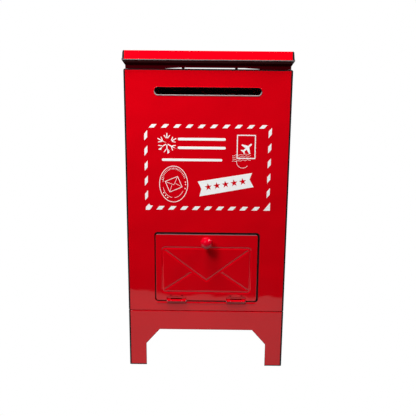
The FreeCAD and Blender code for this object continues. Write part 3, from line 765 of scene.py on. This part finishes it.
def make_knob(material):
    """The ball knob, turned in one piece with its neck and foot."""
    centre_z = (knob_high.z + knob_low.z) / 2
    mesh = bmesh.new()
    rings = []
    for reach, radius in knob_profile():
        if radius < HAIR:
            rings.append([mesh.verts.new((0, knob_high.y - reach, centre_z))])
            continue
        ring = []
        for index in range(KNOB_TURNS):
            angle = 2 * math.pi * index / KNOB_TURNS
            x = radius * math.cos(angle)
            z = centre_z + radius * math.sin(angle)
            ring.append(mesh.verts.new((x, knob_high.y - reach, z)))
        rings.append(ring)
    for near, far in zip(rings, rings[1:]):
        for index in range(KNOB_TURNS):
            following = (index + 1) % KNOB_TURNS
            if len(far) == 1:
                mesh.faces.new((near[index], near[following], far[0]))
            else:
                mesh.faces.new((near[index], near[following], far[following], far[index]))
    mesh.faces.new(rings[0])
    bmesh.ops.recalc_face_normals(mesh, faces=mesh.faces)
    data = bpy.data.meshes.new("knob_ball")
    mesh.to_mesh(data)
    mesh.free()
    for polygon in data.polygons:
        polygon.use_smooth = True
    knob = add_object("knob_ball", data, material, "door")
    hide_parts("door_knob")


# Print on the front: drawn flat in millimetres (x, height), then laid on the panel

INK_THICK = 0.08 * MM
ROUND_STEPS = 10
STRIPE_PITCH = 15.49
SIDE_PITCH = 19.4
CANCEL_THICK = 1.3 * INK_THICK


def arc(centre, radii, start, stop, steps):
    """Points along part of an ellipse, in degrees."""
    points = []
    for index in range(steps + 1):
        angle = math.radians(start + (stop - start) * index / steps)
        x = centre[0] + radii[0] * math.cos(angle)
        points.append((x, centre[1] + radii[1] * math.sin(angle)))
    return points


def place_on(centre, radii, angle):
    """The point of an ellipse at an angle in degrees."""
    return arc(centre, radii, angle, angle, 1)[0]


def ring(centre, radii, width):
    """The outer and inner outlines of an elliptical ring."""
    inner = (radii[0] - width, radii[1] - width)
    return [arc(centre, radii, 0, 354, 59), arc(centre, inner, 0, 354, 59)]


def band(points, width):
    """The outline of a line of some width along points."""
    left, right = [], []
    for index, point in enumerate(points):
        before = points[max(index - 1, 0)]
        after = points[min(index + 1, len(points) - 1)]
        along = Vector((after[0] - before[0], after[1] - before[1])).normalized()
        side = Vector((-along.y, along.x)) * width / 2
        left.append((point[0] + side.x, point[1] + side.y))
        right.append((point[0] - side.x, point[1] - side.y))
    return left + right[::-1]


def bar(start, stop, width):
    """A straight line with round ends."""
    angle = math.degrees(math.atan2(stop[1] - start[1], stop[0] - start[0]))
    radii = (width / 2, width / 2)
    first = arc(start, radii, angle + 90, angle + 270, ROUND_STEPS)
    last = arc(stop, radii, angle - 90, angle + 90, ROUND_STEPS)
    return first + last


def turned(points, angle, centre):
    """Points turned by an angle in degrees and moved to a centre."""
    cos, sin = math.cos(math.radians(angle)), math.sin(math.radians(angle))
    return [(centre[0] + x * cos - y * sin, centre[1] + x * sin + y * cos) for x, y in points]


def star(centre, outer, inner, tips, start):
    """A star's outline, with its first tip at an angle in degrees."""
    points = []
    for index in range(2 * tips):
        radius = inner if index % 2 else outer
        angle = math.radians(start + 180 * index / tips)
        x = centre[0] + radius * math.cos(angle)
        points.append((x, centre[1] + radius * math.sin(angle)))
    return points


def lay_print(name, outlines, proud=INK_THICK):
    """Thin ink with these outlines on the front panel, standing proud of it."""
    curve = bpy.data.curves.new(name, "CURVE")
    curve.dimensions = "2D"
    curve.fill_mode = "BOTH"
    curve.extrude = INK_THICK
    for outline in outlines:
        spline = curve.splines.new("POLY")
        spline.points.add(len(outline) - 1)
        spline.use_cyclic_u = True
        for point, (x, z) in zip(spline.points, outline):
            point.co = (x * MM, z * MM, 0, 1)
    drawn = bpy.data.objects.new(name + "_outline", curve)
    mesh = bpy.data.meshes.new_from_object(drawn)
    bpy.data.objects.remove(drawn)
    bpy.data.curves.remove(curve)
    upright = Matrix.Rotation(math.pi / 2, 4, "X")
    mesh.transform(Matrix.Translation((0, FRONT - proud + INK_THICK, 0)) @ upright)
    mesh.name = name
    add_object(name, mesh, INK, "root")


def print_border():
    """The striped edge of an airmail envelope."""
    stripes = []
    for index in range(10):
        x = -74.4 + STRIPE_PITCH * index
        stripes.append([(x, 327.7), (x + 6.3, 327.7), (x + 10.3, 332.1), (x + 4.0, 332.1)])
    for index in range(9):
        x = -66.0 + STRIPE_PITCH * index
        stripes.append([(x, 221.4), (x + 6.9, 221.4), (x + 11.0, 226.2), (x + 4.1, 226.2)])
    for index in range(5):
        drop = SIDE_PITCH * index
        left = [(-80.2, 311.2), (-76.4, 315.8), (-76.4, 324.4), (-80.2, 319.8)]
        right = [(77.1, 315.8), (81.0, 320.4), (81.0, 328.8), (77.1, 324.2)]
        for stripe in (left, right):
            stripes.append([(x, z - drop) for x, z in stripe])
    stripes.append([(73.2, 221.4), (81.9, 221.4), (81.9, 232.2)])
    notched = [(-79.6, 220.9), (-74.3, 220.9), (-70.2, 226.8)]
    stripes.append(notched + [(-73.7, 226.8), (-75.0, 229.2), (-79.3, 225.0)])
    lay_print("print_border", stripes)


def snowflake(centre, radius):
    """Outlines of a six-armed snowflake, kept apart so that none cross."""
    outlines = []
    for index in range(6):
        angle = 90 + 60 * index
        outlines.append(turned(bar((0.14 * radius, 0), (radius, 0), 1.3), angle, centre))
        for side in (-1, 1):
            twig = bar((0.56 * radius, side * 1.1), (0.80 * radius, side * 0.27 * radius), 1.0)
            outlines.append(turned(twig, angle, centre))
    return outlines


def print_address():
    """Plain address lines and a snowflake, where an address would be written."""
    lines = []
    for left, right, height, width in (
        (-36.0, 21.5, 313.5, 3.4),
        (-36.0, 21.5, 302.5, 3.4),
        (-56.5, 17.5, 287.0, 3.2),
    ):
        lines.append(bar((left, height), (right, height), width))
    lay_print("print_address", lines + snowflake((-51.5, 307.5), 13.0))


def stamp_outline(low, high):
    """A stamp's perforated edge, with small scallops along each side."""
    points = []
    width, height = high[0] - low[0], high[1] - low[1]
    corners = [(low, (1, 0), width), ((high[0], low[1]), (0, 1), height)]
    corners += [(high, (-1, 0), width), ((low[0], high[1]), (0, -1), height)]
    pitch, depth, steps = 2.0, 0.5, 6
    for corner, (ax, az), length in corners:
        count = round(length / pitch) * steps
        for index in range(count):
            run = length * index / count
            sink = depth * (0.5 - 0.5 * math.cos(2 * math.pi * index / steps))
            points.append((corner[0] + ax * run - az * sink, corner[1] + az * run + ax * sink))
    return points


def aeroplane():
    """A plain aeroplane seen from above: one side of it, and its mirror image."""
    half = [(8.0, 0.0), (7.5, 0.8), (6.4, 1.15), (2.6, 1.2), (-1.6, 7.6), (-3.2, 7.6), (-1.7, 1.2)]
    half += [(-5.2, 0.95), (-7.0, 3.3), (-8.2, 3.3), (-7.3, 0.4)]
    return half + [(x, -y) for x, y in half[:0:-1]]


def print_stamp():
    """A stamp with an aeroplane."""
    low, high, frame_width = (37.0, 288.8), (61.4, 319.9), 1.45
    in_low = [place + frame_width for place in low]
    in_high = [place - frame_width for place in high]
    inner = [tuple(in_low), (in_high[0], in_low[1]), tuple(in_high), (in_low[0], in_high[1])]
    plane = turned(aeroplane(), 42.0, (50.4, 303.0))
    lay_print("print_stamp", [stamp_outline(low, high), inner, plane])


def print_cancellation():
    """Faint wavy lines and an arc, struck over the stamp's lower corner."""
    outlines = []
    for index in range(4):
        height = 285.6 + 2.5 * index
        wave = []
        for step in range(41):
            x = 31.5 + 0.6 * step
            wave.append((x, height + 0.55 * math.sin(step * 0.62 + index) + 0.06 * step))
        outlines.append(band(wave, 0.3))
    outlines.append(band(arc((45.2, 285.0), (7.8, 7.8), 165, 320, 30), 0.45))
    lay_print("print_cancellation", outlines, CANCEL_THICK)


def print_postmark():
    """A round postmark, with ticks and dots in place of words; the envelope inside it is drawn
    apart.
    """
    centre = (-43.2, 255.3)
    ticks = 22
    outlines = ring(centre, (18.5, 23.9), 0.75)
    for start, stop in ((152, 172), (195, 262), (275, 330)):
        outlines.append(band(arc(centre, (13.9, 17.8), start, stop, 16), 0.4))
    for index in range(ticks):
        angle = 24 + 138 * index / (ticks - 1)
        near = place_on(centre, (14.8, 19.4), angle)
        far = place_on(centre, (16.6, 21.7), angle)
        outlines.append(band([near, far], 0.5))
    for angle in (8, -1, -16, 214, 227, 240):
        dot = place_on(centre, (15.4, 20.4), angle)
        outlines.append(arc(dot, (0.75, 0.75), 0, 330, 11))
    lay_print("print_postmark", outlines)


def print_postmark_envelope():
    """The small tilted envelope inside the postmark."""
    tilt, half_x, half_z, line, inset = 23.0, 9.0, 7.8, 0.65, 1.2
    centre = (-43.1, 255.2)
    outside = [(-half_x, -half_z), (half_x, -half_z), (half_x, half_z), (-half_x, half_z)]
    inside = [(x * (1 - line / half_x), z * (1 - line / half_z)) for x, z in outside]
    right, top = half_x - inset, half_z - inset
    parts = [outside, inside, band([(-right, top), (0.0, -0.8), (right, top)], 0.5)]
    for side in (-1, 1):
        parts.append(band([(side * right, -top), (side * 2.6, 0.0)], 0.4))
    lay_print("print_postmark_envelope", [turned(points, tilt, centre) for points in parts])


def print_ribbon():
    """A swallow-tailed ribbon with stars left open in it."""
    outline = [(-12.1, 259.1), (57.5, 270.9), (54.4, 262.4)]
    outline += [(59.8, 252.5), (-9.9, 239.5), (-7.4, 249.4)]
    slope = math.atan2(11.8, 69.6)
    pitch = 11.2
    stars = []
    for index in range(-2, 3):
        run = index * pitch
        centre = (23.6 + run * math.cos(slope), 255.7 + run * math.sin(slope))
        stars.append(star(centre, 4.9, 2.0, 5, 90 + math.degrees(slope)))
    lay_print("print_ribbon", [outline, *stars])


# Studio

AMBIENT = 0.03
REFLECTED_ROOM = 0.004
KNOB_PLACE = Vector((0, knob_low.y + KNOB_RADIUS, (knob_low.z + knob_high.z) / 2))


def white_light(node_tree, strength):
    """A white background of some strength."""
    node = node_tree.nodes.new("ShaderNodeBackground")
    node.inputs["Color"].default_value = (1, 1, 1, 1)
    node.inputs["Strength"].default_value = strength
    return node.outputs[0]


def make_world():
    """A white cyclorama behind, soft light all round, and a dim room in reflections."""
    world = bpy.data.worlds.new("studio")
    world.use_nodes = True
    tree = world.node_tree
    rays = tree.nodes.new("ShaderNodeLightPath")
    white = white_light(tree, 1.0)
    dim = white_light(tree, REFLECTED_ROOM)
    soft = white_light(tree, AMBIENT)
    reflected = tree.nodes.new("ShaderNodeMixShader")
    tree.links.new(rays.outputs["Is Glossy Ray"], reflected.inputs[0])
    tree.links.new(soft, reflected.inputs[1])
    tree.links.new(dim, reflected.inputs[2])
    seen = tree.nodes.new("ShaderNodeMixShader")
    tree.links.new(rays.outputs["Is Camera Ray"], seen.inputs[0])
    tree.links.new(reflected.outputs[0], seen.inputs[1])
    tree.links.new(white, seen.inputs[2])
    tree.links.new(seen.outputs[0], tree.nodes["World Output"].inputs[0])
    bpy.context.scene.world = world


def softbox(name, target, towards, distance, size, watts):
    """A round softbox at a distance from a target, facing it."""
    data = bpy.data.lights.new(name, "AREA")
    data.shape = "DISK"
    data.size = size
    data.energy = watts
    light = bpy.data.objects.new(name, data)
    bpy.context.scene.collection.objects.link(light)
    direction = Vector(towards).normalized()
    light.location = target + distance * direction
    light.rotation_euler = direction.to_track_quat("Z", "Y").to_euler()
    return light


def make_lights():
    """Two lights that the knob mirrors, one overhead, one from the floor, two behind."""
    lid_front = Vector((0, FRONT, CASE_TOP))
    skirt_middle = Vector((0, FRONT, ARCH_TOP))
    back_middle = Vector((0, BACK, CASE_TOP / 2))
    for name, target, towards, distance, size, watts, mirrored in (
        ("key_light", KNOB_PLACE, (-0.41, -0.60, 0.69), 0.9, 0.3, 5.6, True),
        ("side_light", KNOB_PLACE, (0.59, -0.2, 0.79), 1.0, 0.26, 3.1, True),
        ("overhead_light", lid_front, (-0.3, -0.22, 0.93), 0.9, 0.54, 16, False),
        ("floor_bounce", skirt_middle, (0, -0.5, -0.2), 0.2, 0.24, 0.12, False),
        ("back_left_light", back_middle, (-0.62, 0.62, 0.48), 1.5, 0.7, 14, True),
        ("back_right_light", back_middle, (0.62, 0.62, 0.48), 1.5, 0.7, 14, True),
    ):
        light = softbox(name, target, towards, distance, size, watts)
        light.visible_glossy = mirrored


# The paper round the box ends where its reflection ends on the front panel
PAPER_FRONT = 0.260
PAPER_SIDE = 0.7
PAPER_BACK = 0.9
PAPER_LEVEL = -0.5 * MM
PAPER_REFLECTED = 0.75
FLOOR_HALF = 9.0
FLOOR_LEVEL = -2 * MM
FLOOR_REFLECTED = 0.5


def floor_material(name, reflected):
    """Pale paper, white where it is seen and of some brightness where it is reflected."""
    material = bpy.data.materials.new(name)
    material.use_nodes = True
    tree = material.node_tree
    tree.nodes.remove(tree.nodes["Principled BSDF"])
    rays = tree.nodes.new("ShaderNodeLightPath")
    paper = tree.nodes.new("ShaderNodeEmission")
    paper.inputs["Strength"].default_value = reflected
    white = tree.nodes.new("ShaderNodeEmission")
    white.inputs["Strength"].default_value = 1.0
    mix = tree.nodes.new("ShaderNodeMixShader")
    tree.links.new(rays.outputs["Is Camera Ray"], mix.inputs[0])
    tree.links.new(paper.outputs[0], mix.inputs[1])
    tree.links.new(white.outputs[0], mix.inputs[2])
    tree.links.new(mix.outputs[0], tree.nodes["Material Output"].inputs[0])
    return material


def floor_sheet(name, low, high, height, material):
    """A flat sheet on the stage, from one corner to the other."""
    mesh = bpy.data.meshes.new(name)
    corners = [(low[0], low[1]), (high[0], low[1]), (high[0], high[1]), (low[0], high[1])]
    mesh.from_pydata([(x, y, height) for x, y in corners], [], [(0, 1, 2, 3)])
    mesh.materials.append(material)
    sheet = bpy.data.objects.new(name, mesh)
    bpy.context.scene.collection.objects.link(sheet)
    sheet.visible_diffuse = False
    return sheet


def make_floor():
    """White paper round the box, on a wide pale floor."""
    near_low = (-PAPER_SIDE, FRONT - PAPER_FRONT)
    near_high = (PAPER_SIDE, FRONT + PAPER_BACK)
    paper = floor_material("floor_paper", PAPER_REFLECTED)
    floor_sheet("floor_paper", near_low, near_high, PAPER_LEVEL, paper)
    far_low = (-FLOOR_HALF, -FLOOR_HALF)
    far_high = (FLOOR_HALF, FLOOR_HALF)
    pale = floor_material("floor_outer", FLOOR_REFLECTED)
    outer = floor_sheet("floor", far_low, far_high, FLOOR_LEVEL, pale)
    outer.visible_glossy = False


make_camera()
INK = ink()
paint_nodes()
# The door's top edge gets a dark grey painted highlight
make_door(enamel("red_enamel_door", door_mask, highlight_mask=door_painted_highlight, worn=DOOR_HIGHLIGHT_GREY))
make_knob(knob_enamel())
print_border()
print_address()
print_stamp()
print_cancellation()
print_postmark()
print_postmark_envelope()
print_ribbon()
make_world()
make_lights()
make_floor()
bpy.context.scene.view_settings.view_transform = "Standard"
